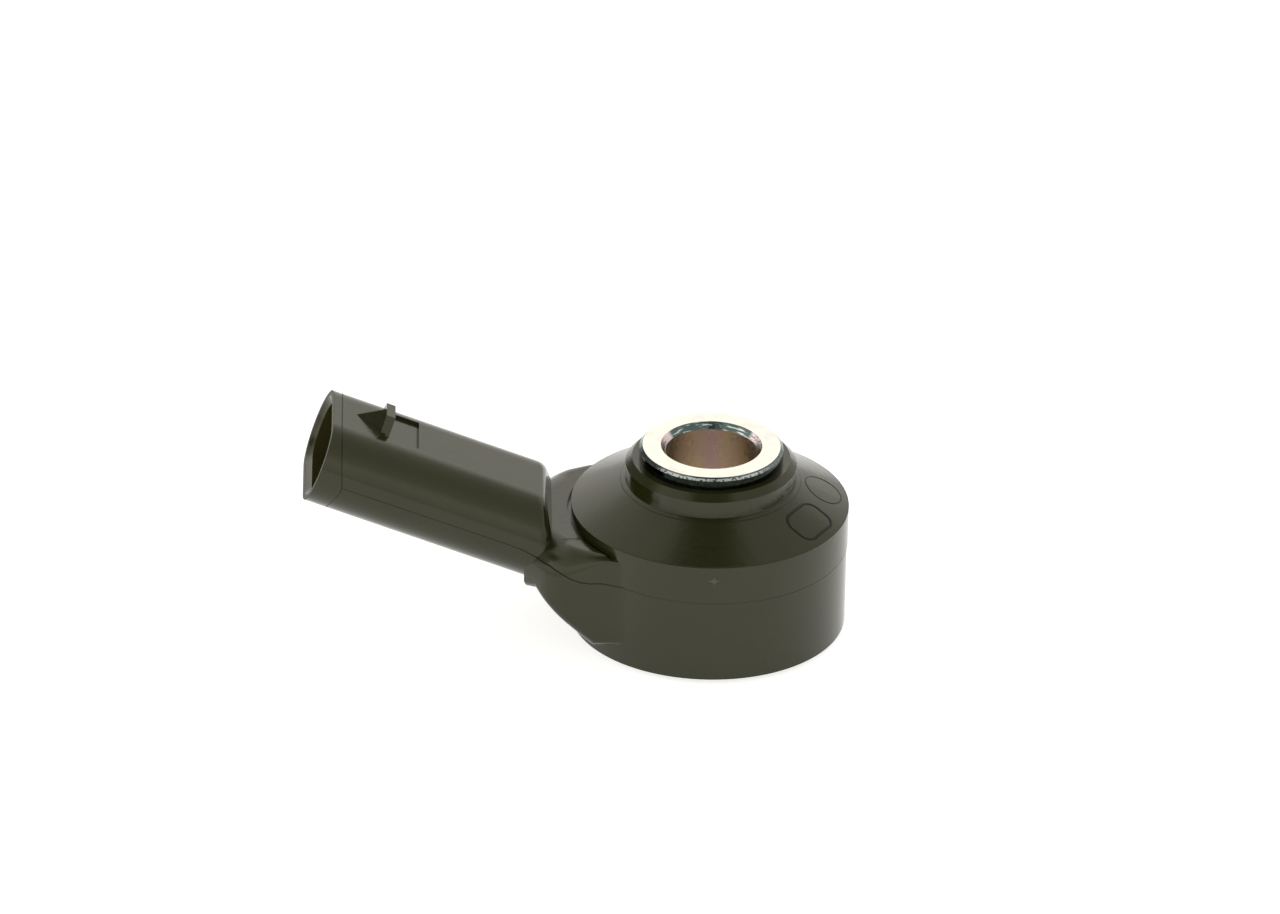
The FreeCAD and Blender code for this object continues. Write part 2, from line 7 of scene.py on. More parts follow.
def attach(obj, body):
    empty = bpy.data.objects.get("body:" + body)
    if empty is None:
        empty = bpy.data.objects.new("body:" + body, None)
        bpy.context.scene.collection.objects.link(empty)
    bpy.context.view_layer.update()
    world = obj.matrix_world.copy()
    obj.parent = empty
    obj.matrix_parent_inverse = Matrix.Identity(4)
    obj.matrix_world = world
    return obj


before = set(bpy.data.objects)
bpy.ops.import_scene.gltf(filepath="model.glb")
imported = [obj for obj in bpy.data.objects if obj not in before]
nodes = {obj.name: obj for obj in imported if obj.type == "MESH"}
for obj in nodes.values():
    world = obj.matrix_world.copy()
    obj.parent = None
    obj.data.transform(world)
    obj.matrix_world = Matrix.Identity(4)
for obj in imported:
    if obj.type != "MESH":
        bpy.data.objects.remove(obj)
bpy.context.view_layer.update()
MM = 0.001

# Camera, fitted to the rims of the bore, the sleeve and the body
CAMERA_ELEVATION = math.radians(28.03)
CAMERA_YAW = math.radians(1.65)
CAMERA_ROLL = math.radians(1.31)
CAMERA_DISTANCE = 936.2 * MM
CAMERA_TARGET = Vector((-6.507, 0.187, 16.58)) * MM
LENS, SENSOR = 288.0, 36.0
CLIP_START, CLIP_END = 0.01, 20.0

# Studio light: its strength by the height of the direction it comes from, dimmer to the right
LIGHT_BY_HEIGHT = [
    (0.0, 0.85), (0.15, 1.15), (0.3, 1.28), (0.47, 1.38), (0.6, 1.02), (0.8, 0.84), (1.0, 0.72)]
LIGHT_TINT = (1.0, 0.97, 0.91)
DIM_FROM, DIM_TO, RIGHT_DIMMING = 0.1, 0.8, 0.3
# A dark gap overhead between the screens, which fades out in the directions below it
GAP_HALF_WIDTH, GAP_HALF_LENGTH, GAP_MIDDLE, GAP_LIGHT = 0.33, 0.5, -0.25, 0.14
GAP_EDGE_FROM, GAP_EDGE_TO = 0.6, 1.6
GAP_FULL_HEIGHT, GAP_LEAST_HEIGHT = 0.6, 0.3
# A second dark gap to the left: its middle, its long direction and its half sizes
SIDE_GAP_MIDDLE = Vector((-0.744, 0.516, 0.424))
SIDE_GAP_LONG = Vector((0.223, 0.791, -0.571))
SIDE_GAP_HALF_LENGTH, SIDE_GAP_HALF_WIDTH, SIDE_GAP_LIGHT = 0.5, 0.17, 0.15
SIDE_GAP_EDGE_FROM, SIDE_GAP_EDGE_TO, SIDE_GAP_REACH = 0.8, 1.3, 0.3

# Floor: its half size in metres, its colour and the glow that is seen but lights nothing
FLOOR_HALF = 3.0
FLOOR_COLOUR = (0.7, 0.7, 0.69, 1.0)
FLOOR_GLOW, FLOOR_GLOW_TINT = 0.75, (1.0, 1.0, 0.995, 1.0)

# All places on the part from here on are in mm.
# The body's top: a cone from the collar's foot down to the outer edge, and the flat top of the neck
CONE_TOP_RADIUS, CONE_TOP, CONE_RADIUS, CONE_BOTTOM = 7.85, 14.6, 12.73, 12.1
NECK_START = -0.9 * CONE_RADIUS
NECK_TOP = 11.25

# Plug socket: the middle of its mouth, its rise, its half width, its round sides, where it meets the
# neck, the depths of its outer and inner finish, and how far back the mouth's face counts
MOUTH_X, MOUTH_Z = -35.9, 17.646
SOCKET_TILT = math.radians(20.7)
SOCKET_HALF_WIDTH, SOCKET_ROUND = 6.675, 3.925
SOCKET_END = -17.5
SKIN_DEPTH, INNER_DEPTH, INNER_END = 0.5, 0.8, -20.0
MOUTH_FACE_DEPTH = 0.03

# Parting line: its height along X, and how clearly it shows along X
PARTING_LINE = [
    (-33.7, 16.72), (-18.4, 11.03), (-16.9, 10.37), (-16.45, 10.08), (-15.9, 9.75), (-14.7, 9.73),
    (-13.95, 9.52), (-13.35, 9.3), (-12.8, 9.03), (-12.0, 8.72), (-11.1, 8.58), (-10.1, 8.62),
    (-8.9, 8.4), (13.5, 8.4)]
PARTING_CLEAR = [
    (-33.7, 0.45), (-18.4, 0.5), (-15.9, 0.75), (-10.1, 0.7), (-4.0, 0.42), (4.0, 0.42),
    (9.0, 0.75), (13.5, 0.8)]
PARTING_HALF_WIDTH = 0.09

# Line round the socket's mouth: its X along the height
MOUTH_LINE = [
    (13.0, -35.3), (14.33, -34.99), (14.82, -34.77), (15.59, -34.32), (16.22, -33.87),
    (16.75, -33.7), (22.0, -33.75)]
MOUTH_LINE_HALF_WIDTH, MOUTH_LINE_CLEAR = 0.08, 0.55

# Fine line round the collar's foot, the cone's outer edge, and how clearly both show
COLLAR_LINE, COLLAR_LINE_HALF_WIDTH, COLLAR_LINE_BOTTOM = 8.25, 0.07, 13.5
EDGE_WIDTH, EDGE_DEPTH, EDGE_START = 0.1, 0.05, -9.0
FINE_CLEAR = 0.35

# Gate scar on the front of the body: middle, half sizes, where it fades, and the furthest Y it is on
SCAR_X, SCAR_Z, SCAR_HALF_WIDTH, SCAR_HALF_HEIGHT = 0.1, 10.75, 1.0, 0.7
SCAR_FULL, SCAR_GONE, SCAR_BACK = 0.75, 1.15, -12.0

# Sleeve: heights of its top, of the foot of its outer chamfer and of its bore's lead-in, and radii
SLEEVE_TOP, SLEEVE_EDGE, BORE_LEAD, COLLAR_FOOT = 18.0, 17.7, 17.4, 14.0
BORE_RADIUS, SLEEVE_MIDDLE, SLEEVE_WALL = 4.2, 5.4, 6.5
BORE_MARGIN, TOP_MARGIN = 0.1, 0.01
# Painted glint line on the outer chamfer: its rise above the chamfer's foot, and its half width
EDGE_GLINT_RISE, EDGE_GLINT_HALF_WIDTH = 0.1, 0.14

# Moulded plastic: colours, and the roughness with what a scar or the mouth's face and a line add
# The line colour is painted shade along the seams and the fine lines
LINE_SHADE_COLOUR, SCAR_COLOUR = (0.003, 0.0035, 0.001), (0.085, 0.082, 0.065)
PLASTIC_DARK, PLASTIC_LIGHT = (0.0175, 0.020, 0.0045), (0.021, 0.0235, 0.0055)
# Painted light: the socket's inside is about twice as light as the outside, for the light bounced into it
LIT_INSIDE_DARK, LIT_INSIDE_LIGHT = (0.047, 0.044, 0.014), (0.054, 0.050, 0.016)
# The marks' colours are painted shade: their rims are drawn near black
MARK_SHADE_DARK, MARK_SHADE_PALE = (0.006, 0.007, 0.002), (0.010, 0.011, 0.003)
PLASTIC_TINT = (1.0, 0.98, 0.86, 1.0)
PLASTIC_ROUGHNESS, SCAR_ROUGHER, LINE_ROUGHER = (0.12, 0.17), 0.35, 0.6
PLASTIC_SHINE, LINE_SHINE, MARK_SHINE = 0.5, 0.1, 0.22
MARK_ROUGHNESS, MOUTH_FACE_DULL = (0.3, 0.4), 0.5
# The cloud's highest noise that still counts, and the depths of the surface's relief in mm
CLOUD_LIMIT = 0.7
GRAIN_DEPTH, FLOW_DEPTH, LINE_DEPTH, FLOW_SHARE = 0.004, 0.02, 0.02, 0.5

# Plated steel: colours from the lowest to the highest noise, and the roughness
FACE_COLOURS = ((0.80, 0.70, 0.66), (0.82, 0.79, 0.70), (0.76, 0.79, 0.73))
BORE_COLOURS = ((0.84, 0.77, 0.60), (0.81, 0.70, 0.69))
# Painted shade: the sleeve's wall inside the collar is coloured near black, standing in for the dark it
# reflects
WALL_SHADE_COLOURS = ((0.006, 0.010, 0.009), (0.022, 0.025, 0.018))
# Lead-in: the plating's rosy and teal tints, made light at the sides and dark with light glints towards
# front and back as painted reflection
ROSY_COLOURS = ((0.80, 0.62, 0.66), (0.82, 0.76, 0.78))
LEAD_REFLECTION_COLOURS = ((0.10, 0.14, 0.135), (0.80, 0.85, 0.85))
# Outer chamfer: the plating's teal darkened as painted reflection, and a light colour for painted glints
EDGE_REFLECTION_COLOURS = ((0.13, 0.16, 0.16), (0.66, 0.71, 0.70))
STEEL_ROUGHNESS, BORE_ROUGHNESS, GLINT_ROUGHER = (0.06, 0.14), (0.24, 0.32), 0.35
TURNED_DEPTH, WORN_DEPTH = 0.003, 0.03
# Noise from which a painted glint starts to where it is full, for the outer chamfer and the lead-in
EDGE_GLINT_FROM, EDGE_GLINT_TO, GLINT_FROM, GLINT_TO = 0.4, 0.52, 0.55, 0.66
# Share of the radius that lies along Y: where the painted glints on the outer chamfer thin out, and where
# the lead-in turns from a painted dark reflection to a lighter rosy one
EDGE_GLINTS_THIN, EDGE_GLINTS_FULL, EDGE_GLINTS_LEAST = 0.55, 0.85, 0.12
LEAD_BLUISH, LEAD_ROSY = 0.62, 0.5
# The bore's colour: weights of the random cloud and of that share, which paints a tint of reflection, and
# the range of their sum
BORE_CLOUD_WEIGHT, BORE_ALONG_WEIGHT, BORE_SHADE_LOW, BORE_SHADE_HIGH = 0.5, 0.75, 0.7, 0.95

# Noise: scales per metre, those of the turning and the streaks per mm, and the range in use
PLASTIC_CLOUD, PLASTIC_FLOW, PLASTIC_GRAIN, MARK_GRAIN = 180.0, 1500.0, 9000.0, 6000.0
STEEL_CLOUD, STEEL_MARKS, METAL_GRAIN, SOLID_GRAIN = 700.0, 3500.0, 3000.0, 4000.0
STEEL_TURNED, STREAKS_ACROSS, STREAKS_UP = 14.0, 0.9, 6.0
NOISE_LOW, NOISE_HIGH, STEEL_LOW, STEEL_HIGH = 0.3, 0.7, 0.35, 0.65

# Blank marks: their places and half sizes, and the half width and rise of their lines
DISC_DISTANCE, DISC_SHIFT, DISC_HALF_ACROSS, DISC_HALF_DOWN = 10.37, 0.4, 2.15, 1.86
FRAME_AZIMUTH, FRAME_DISTANCE = math.radians(-32.0), 10.5
FRAME_HALF_ACROSS, FRAME_HALF_DOWN, FRAME_CORNER = 2.3, 1.6, 1.1
ARROW_TAIL, ARROW_TIP, ARROW_Y, BARB_LENGTH, BARB_SPREAD = -13.5, -11.95, -5.8, 0.35, 0.3
DISC_LINE, FRAME_LINE, ARROW_LINE, BARB_LINE = (0.09, 0.035), (0.17, 0.06), (0.07, 0.02), (0.06, 0.02)


class Nodes:
    """Short ways to add and join the nodes of one shader tree."""

    def __init__(self, tree):
        self.tree = tree
        tree.nodes.clear()

    def add(self, kind, inputs=None, **settings):
        node = self.tree.nodes.new(kind)
        for name, value in settings.items():
            setattr(node, name, value)
        for name, value in (inputs or {}).items():
            self.put(node.inputs[name], value)
        return node

    def put(self, socket, value):
        if isinstance(value, bpy.types.NodeSocket):
            self.tree.links.new(value, socket)
        else:
            socket.default_value = value

    def math(self, operation, first, second=0.0, third=0.0):
        node = self.add("ShaderNodeMath", operation=operation)
        for socket, value in zip(node.inputs, (first, second, third)):
            self.put(socket, value)
        return node.outputs[0]

    def times(self, first, *others):
        for other in others:
            first = self.math("MULTIPLY", first, other)
        return first

    def times_plus(self, first, second, third):
        """first * second + third"""
        return self.math("MULTIPLY_ADD", first, second, third)

    def minus(self, first, second):
        return self.math("SUBTRACT", first, second)

    def larger(self, first, second):
        return self.math("MAXIMUM", first, second)

    def unsigned(self, value):
        return self.math("ABSOLUTE", value)

    def above(self, value, limit):
        """1 where the value is above the limit, and 0 elsewhere."""
        return self.math("GREATER_THAN", value, limit)

    def below(self, value, limit):
        """1 where the value is below the limit, and 0 elsewhere."""
        return self.math("LESS_THAN", value, limit)

    def length(self, first, second):
        return self.math("SQRT", self.math("ADD", self.times(first, first), self.times(second, second)))

    def dot(self, way, direction):
        inputs = {0: way, 1: direction}
        return self.add("ShaderNodeVectorMath", inputs, operation="DOT_PRODUCT").outputs["Value"]

    def ramp(self, factor, stops):
        node = self.add("ShaderNodeValToRGB", {"Fac": factor})
        elements = node.color_ramp.elements
        while len(elements) < len(stops):
            elements.new(0.5)
        for element, (place, value) in zip(elements, stops):
            element.position = place
            element.color = (*value, 1.0) if isinstance(value, tuple) else (value, value, value, 1.0)
        return node.outputs["Color"]

    def between(self, factor, colours, low=0.0, high=1.0):
        """Evenly spaced colours over the factor's range from low to high."""
        gaps = len(colours) - 1
        return self.ramp(factor, [
            (low + (high - low) * index / gaps, colour) for index, colour in enumerate(colours)])

    def table(self, value, rows):
        """Looks the value up in a table of (place, length) rows."""
        first, span = rows[0][0], rows[-1][0] - rows[0][0]
        lengths = [length for place, length in rows]
        low, rise = min(lengths), max(lengths) - min(lengths)
        stops = [((place - first) / span, (length - low) / rise) for place, length in rows]
        found = self.ramp(self.times_plus(value, 1.0 / span, -first / span), stops)
        return self.times_plus(found, rise, low)

    def noise(self, vector, scale, detail=2.0):
        inputs = {"Vector": vector, "Scale": scale, "Detail": detail, "Roughness": 0.5}
        return self.add("ShaderNodeTexNoise", inputs).outputs["Fac"]

    def fade(self, value, start, end, low, high, kind="SMOOTHSTEP"):
        """Maps start to end onto low to high, with soft ends."""
        inputs = {"Value": value, "From Min": start, "From Max": end, "To Min": low, "To Max": high}
        return self.add("ShaderNodeMapRange", inputs, interpolation_type=kind).outputs["Result"]

    def spread(self, value, low, high):
        """Maps the noise's range evenly onto low to high."""
        return self.fade(value, NOISE_LOW, NOISE_HIGH, low, high, "LINEAR")

    def line_at(self, value, place, half_width):
        """1 where the value is at the place, fading to 0 on both sides."""
        off = self.unsigned(self.minus(value, place))
        return self.fade(off, half_width * 0.4, half_width, 1.0, 0.0)

    def mix(self, factor, first, second):
        node = self.add("ShaderNodeMix", data_type="RGBA")
        for index, value in ((0, factor), (6, first), (7, second)):
            self.put(node.inputs[index], value)
        return node.outputs[2]

    def place(self):
        return self.add("ShaderNodeTexCoord").outputs["Object"]

    def in_mm(self, place):
        """X, Y, Z and the distance from the bore's axis, in mm."""
        inputs = {"Vector": place, "Scale": 1.0 / MM}
        scaled = self.add("ShaderNodeVectorMath", inputs, operation="SCALE").outputs[0]
        parts = self.add("ShaderNodeSeparateXYZ", {"Vector": scaled}).outputs
        return parts["X"], parts["Y"], parts["Z"], self.length(parts["X"], parts["Y"])

    def joined(self, across, height):
        return self.add("ShaderNodeCombineXYZ", {"X": across, "Z": height}).outputs[0]

    def bump(self, height, distance, strength=1.0, normal=None):
        inputs = {"Height": height, "Distance": distance * MM, "Strength": strength}
        if normal is not None:
            inputs["Normal"] = normal
        return self.add("ShaderNodeBump", inputs).outputs["Normal"]

    def surface(self, shader):
        self.add("ShaderNodeOutputMaterial", {"Surface": shader.outputs[0]})


def new_material(name):
    material = bpy.data.materials.new(name)
    material.use_nodes = True
    return material, Nodes(material.node_tree)


# Moulded plastic
def moulded_plastic():
    material, tree = new_material("moulded_plastic")
    place = tree.place()
    cloud = tree.noise(place, PLASTIC_CLOUD, 3.0)
    grain = tree.noise(place, PLASTIC_GRAIN)
    flow = tree.noise(place, PLASTIC_FLOW, 3.0)
    lines, in_socket, at_mouth = mould_lines(tree, place)
    scar = gate_scar(tree, place)
    plain = tree.minus(1.0, lines)
    shade = tree.times(tree.math("MINIMUM", cloud, CLOUD_LIMIT), plain)
    # Painted shade: the lines are real seams and edges, coloured near black for the shade in their tiny
    # steps and creases
    outside = tree.ramp(tree.larger(shade, scar), [
        (0.05, LINE_SHADE_COLOUR), (NOISE_LOW, PLASTIC_DARK), (NOISE_HIGH, PLASTIC_LIGHT), (1.0, SCAR_COLOUR)])
    # Painted light inside the socket, for the light bounced into it
    inside = tree.between(cloud, (LIT_INSIDE_DARK, LIT_INSIDE_LIGHT), NOISE_LOW, NOISE_HIGH)
    roughness = tree.times_plus(
        tree.larger(scar, at_mouth), SCAR_ROUGHER, tree.spread(flow, *PLASTIC_ROUGHNESS))
    dull = tree.larger(lines, tree.times(at_mouth, MOUTH_FACE_DULL))
    normal = tree.bump(grain, GRAIN_DEPTH)
    normal = tree.bump(flow, FLOW_DEPTH, FLOW_SHARE, normal)
    tree.surface(tree.add("ShaderNodeBsdfPrincipled", {
        "Base Color": tree.mix(in_socket, outside, inside),
        "Roughness": tree.times_plus(lines, LINE_ROUGHER, roughness),
        "IOR": 1.5,
        "Specular Tint": PLASTIC_TINT,
        "Specular IOR Level": tree.fade(dull, 0.0, 1.0, PLASTIC_SHINE, LINE_SHINE),
        "Normal": tree.bump(plain, LINE_DEPTH, 1.0, normal)}))
    return material


def mould_lines(tree, place):
    """1 on the parting line, the line round the mouth and the fine lines of the cone, then 1 inside
    the socket, and 1 on the face round its mouth."""
    across, along, height, radius = tree.in_mm(place)
    aside = tree.unsigned(along)
    on_side = tree.larger(
        tree.above(aside, SOCKET_HALF_WIDTH - SKIN_DEPTH), tree.above(across, SOCKET_END))
    parting = tree.times(
        tree.line_at(height, tree.table(across, PARTING_LINE), PARTING_HALF_WIDTH),
        tree.times(on_side, tree.above(across, PARTING_LINE[0][0])),
        tree.table(across, PARTING_CLEAR))

    # Place in the socket: along its axis from the mouth, and out from the line between its round sides
    ahead, up = tree.minus(across, MOUTH_X), tree.minus(height, MOUTH_Z)
    rise, run = math.sin(SOCKET_TILT), math.cos(SOCKET_TILT)
    over = tree.times_plus(ahead, rise, tree.times(up, run))
    behind = tree.times_plus(ahead, run, tree.times(up, -rise))
    bend = tree.larger(tree.minus(aside, SOCKET_HALF_WIDTH - SOCKET_ROUND), 0.0)
    from_axis = tree.length(bend, over)
    in_socket = tree.times(
        tree.below(from_axis, SOCKET_ROUND - INNER_DEPTH), tree.below(across, INNER_END))
    round_mouth = tree.times(
        tree.line_at(across, tree.table(height, MOUTH_LINE), MOUTH_LINE_HALF_WIDTH),
        tree.above(from_axis, SOCKET_ROUND - SKIN_DEPTH))

    ring = tree.times(
        tree.line_at(radius, COLLAR_LINE, COLLAR_LINE_HALF_WIDTH), tree.above(height, COLLAR_LINE_BOTTOM))
    edge = tree.times(
        tree.above(radius, CONE_RADIUS - EDGE_WIDTH), tree.above(height, CONE_BOTTOM - EDGE_DEPTH),
        tree.above(across, EDGE_START))
    fine = tree.times(tree.larger(ring, edge), FINE_CLEAR)
    lines = tree.larger(parting, tree.times_plus(round_mouth, MOUTH_LINE_CLEAR, fine))
    return lines, in_socket, tree.below(behind, MOUTH_FACE_DEPTH)


def gate_scar(tree, place):
    """1 on the small rough spot where the moulding was filled, on the front of the body."""
    across, along, height = tree.in_mm(place)[:3]
    wide = tree.math("DIVIDE", tree.minus(across, SCAR_X), SCAR_HALF_WIDTH)
    tall = tree.math("DIVIDE", tree.minus(height, SCAR_Z), SCAR_HALF_HEIGHT)
    roots = [tree.math("SQRT", tree.unsigned(share)) for share in (wide, tall)]
    spot = tree.fade(tree.math("ADD", *roots), SCAR_FULL, SCAR_GONE, 1.0, 0.0)
    return tree.times(spot, tree.below(along, SCAR_BACK))


# Metals and the parts inside
def plated_steel():
    material, tree = new_material("plated_steel")
    place = tree.place()
    across, along, height, radius = tree.in_mm(place)
    turned = tree.noise(tree.joined(radius, height), STEEL_TURNED, 3.0)
    cloud = tree.noise(place, STEEL_CLOUD, 3.0)
    marks = tree.noise(place, STEEL_MARKS, 3.0)
    stretched = tree.joined(tree.times(across, STREAKS_ACROSS), tree.times(height, STREAKS_UP))
    streaks = tree.noise(stretched, 1.0, 3.0)

    # Zones, 1 inside them: the bore, the wall inside the collar, the lead-in, and both chamfers
    in_bore = tree.times(
        tree.below(radius, BORE_RADIUS + BORE_MARGIN), tree.below(height, BORE_LEAD))
    beyond_bore = tree.minus(1.0, in_bore)
    on_wall = tree.times(
        tree.above(radius, SLEEVE_WALL), tree.below(height, SLEEVE_EDGE), tree.above(height, COLLAR_FOOT))
    at_lead = tree.times(tree.below(radius, SLEEVE_MIDDLE), tree.above(height, BORE_LEAD))
    at_edge = tree.times(
        tree.larger(at_lead, tree.above(height, SLEEVE_EDGE)),
        tree.below(height, SLEEVE_TOP - TOP_MARGIN))

    # Painted glints on both chamfers, those on the outer chamfer fewer towards the ends of the bore's X
    # diameter
    facing = tree.math("DIVIDE", tree.unsigned(along), radius)
    edge_glints = tree.times(
        tree.fade(marks, EDGE_GLINT_FROM, EDGE_GLINT_TO, 0.0, 1.0),
        tree.line_at(height, SLEEVE_EDGE + EDGE_GLINT_RISE, EDGE_GLINT_HALF_WIDTH),
        tree.fade(facing, EDGE_GLINTS_THIN, EDGE_GLINTS_FULL, EDGE_GLINTS_LEAST, 1.0))
    glints = tree.fade(streaks, GLINT_FROM, GLINT_TO, 0.0, 1.0)
    glint_spots = tree.times(tree.mix(at_lead, edge_glints, glints), at_edge)

    # Partly random tone, partly a painted reflection tint that turns rosy where the bore faces along Y
    bore_reflection_tone = tree.times_plus(cloud, BORE_CLOUD_WEIGHT, tree.times(facing, BORE_ALONG_WEIGHT))
    bore = tree.between(bore_reflection_tone, BORE_COLOURS, BORE_SHADE_LOW, BORE_SHADE_HIGH)
    # Painted reflection on the lead-in: dark teal with painted glints where it faces along Y, light rosy at
    # the sides
    bluish = tree.between(glints, LEAD_REFLECTION_COLOURS)
    rosy = tree.between(cloud, ROSY_COLOURS, STEEL_LOW, STEEL_HIGH)
    lead = tree.mix(tree.fade(facing, LEAD_BLUISH, LEAD_ROSY, 0.0, 1.0), bluish, rosy)
    face = tree.between(cloud, FACE_COLOURS, STEEL_LOW, STEEL_HIGH)
    # Painted shade: the wall inside the collar gets near-black colours in place of the dark it reflects
    wall = tree.between(marks, WALL_SHADE_COLOURS, STEEL_LOW, STEEL_HIGH)
    colour = tree.mix(on_wall, tree.mix(in_bore, face, bore), wall)
    # Painted reflection on the outer chamfer: dark teal, light where the painted glints are
    colour = tree.mix(at_edge, colour, tree.mix(at_lead, tree.between(edge_glints, EDGE_REFLECTION_COLOURS), lead))

    roughness = tree.times(tree.spread(turned, *STEEL_ROUGHNESS), beyond_bore)
    roughness = tree.times_plus(in_bore, tree.spread(cloud, *BORE_ROUGHNESS), roughness)
    normal = tree.bump(tree.times(turned, beyond_bore), TURNED_DEPTH)
    tree.surface(tree.add("ShaderNodeBsdfPrincipled", {
        "Base Color": colour,
        "Metallic": 1.0,
        "Roughness": tree.times_plus(glint_spots, GLINT_ROUGHER, roughness),
        "Normal": tree.bump(tree.times(marks, at_edge), WORN_DEPTH, 1.0, normal)}))
    return material


def plain_material(name, colour, roughness, scale, detail, unevenness, metallic=0.0):
    """One colour with a fine grain in its roughness and its surface."""
    material, tree = new_material(name)
    grain = tree.noise(tree.place(), scale, detail)
    tree.surface(tree.add("ShaderNodeBsdfPrincipled", {
        "Base Color": (*colour, 1.0), "Metallic": metallic,
        "Roughness": tree.spread(grain, roughness, roughness + unevenness),
        "Normal": tree.bump(grain, GRAIN_DEPTH)}))
    return material


def plain_metal(name, colour, roughness):
    return plain_material(name, colour, roughness, METAL_GRAIN, 3.0, 0.12, 1.0)


def plain_solid(name, colour, roughness):
    return plain_material(name, colour, roughness, SOLID_GRAIN, 2.0, 0.1)


def dress_nodes():
    looks = {
        moulded_plastic(): ("housing",),
        plated_steel(): ("sleeve",),
        plain_metal("plain_steel", (0.60, 0.60, 0.61), 0.28): ("seismic_mass", "clamping_nut"),
        plain_metal("spring_steel", (0.30, 0.29, 0.28), 0.35): ("disc_spring",),
        plain_metal("contact_brass", (0.80, 0.62, 0.32), 0.25): ("lower_contact_ring", "upper_contact_ring"),
        plain_metal("tinned_brass", (0.78, 0.76, 0.72), 0.25): ("terminal_pin_left", "terminal_pin_right"),
        plain_solid("insulating_film", (0.55, 0.46, 0.25), 0.4): (
            "insulating_tube", "lower_insulator", "upper_insulator"),
        plain_solid("fired_ceramic", (0.33, 0.31, 0.26), 0.55): ("piezo_ring",),
        plain_solid("resistor_coat", (0.40, 0.30, 0.17), 0.3): ("discharge_resistor",)}
    for material, names in looks.items():
        for name in names:
            mesh = nodes[name].data
            mesh.materials.clear()
            mesh.materials.append(material)


# Marks moulded on the body, all of them blank
def body_top(x, y):
    """Height of the body's top at a place, and the direction straight out of it."""
    if x < NECK_START:
        return NECK_TOP, Vector((0.0, 0.0, 1.0))
    radius = math.hypot(x, y)
    fall = (CONE_TOP - CONE_BOTTOM) / (CONE_RADIUS - CONE_TOP_RADIUS)
    out = Vector((x / radius * fall, y / radius * fall, 1.0)).normalized()
    return CONE_TOP - (radius - CONE_TOP_RADIUS) * fall, out


def close_spaced(outline, closed, step=0.2):
    """The same outline with its places no further apart than the step."""
    places = []
    for start, end in zip(outline, outline[1:] + outline[:1] if closed else outline[1:]):
        if math.dist(start, end) < 1e-6:
            continue
        parts = math.ceil(math.dist(start, end) / step)
        places += [
            tuple(a + (b - a) * part / parts for a, b in zip(start, end)) for part in range(parts)]
    return places if closed else places + outline[-1:]


def raised_line(name, outline, half_width, rise, material, closed=True):
    """A fine raised line along an outline of (x, y) places on the body's top."""
    outline = close_spaced(outline, closed)
    count = len(outline)
    section = [(-1.0, -0.5), (-0.75, 0.6), (0.0, 1.0), (0.75, 0.6), (1.0, -0.5)]
    size = len(section)
    verts, faces = [], []
    for index, (x, y) in enumerate(outline):
        height, up = body_top(x, y)
        before = outline[index - 1] if closed or index else outline[index]
        after = outline[(index + 1) % count] if closed or index < count - 1 else outline[index]
        way = Vector((after[0] - before[0], after[1] - before[1], 0.0)).normalized()
        side = way.cross(up).normalized()
        middle = Vector((x, y, height))
        verts += [(middle + side * across * half_width + up * out * rise) * MM for across, out in section]
    for index in range(count if closed else count - 1):
        here, there = index * size, (index + 1) % count * size
        for corner in range(size):
            after = (corner + 1) % size
            faces.append((here + corner, here + after, there + after, there + corner))
    if not closed:
        faces += [tuple(range(size - 1, -1, -1)), tuple(range((count - 1) * size, count * size))]
    mesh = bpy.data.meshes.new(name)
    mesh.from_pydata([tuple(vert) for vert in verts], [], faces)
    mesh.materials.append(material)
    piece = bpy.data.objects.new(name, mesh)
    bpy.context.scene.collection.objects.link(piece)
    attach(piece, "root")


def on_cone(azimuth, distance, across, down):
    """An (x, y) place given across and down the slope from a middle on the cone."""
    slope = math.atan2(CONE_TOP - CONE_BOTTOM, CONE_RADIUS - CONE_TOP_RADIUS)
    radial = distance + down * math.cos(slope)
    return (radial * math.cos(azimuth) - across * math.sin(azimuth),
            radial * math.sin(azimuth) + across * math.cos(azimuth))


def oval(half_across, half_down, middle, steps=48):
    """An oval as (across, down) pairs, its middle moved across."""
    turns = [step / steps * math.tau for step in range(steps)]
    return [(middle + half_across * math.cos(turn), half_down * math.sin(turn)) for turn in turns]


def rounded(half_across, half_down, corner, steps=10):
    """A rounded rectangle as (across, down) pairs."""
    places = []
    for turn, (sx, sy) in enumerate(((1, 1), (-1, 1), (-1, -1), (1, -1))):
        for step in range(steps + 1):
            angle = math.pi / 2 * (turn + step / steps)
            places.append((sx * (half_across - corner) + corner * math.cos(angle),
                           sy * (half_down - corner) + corner * math.sin(angle)))
    return places


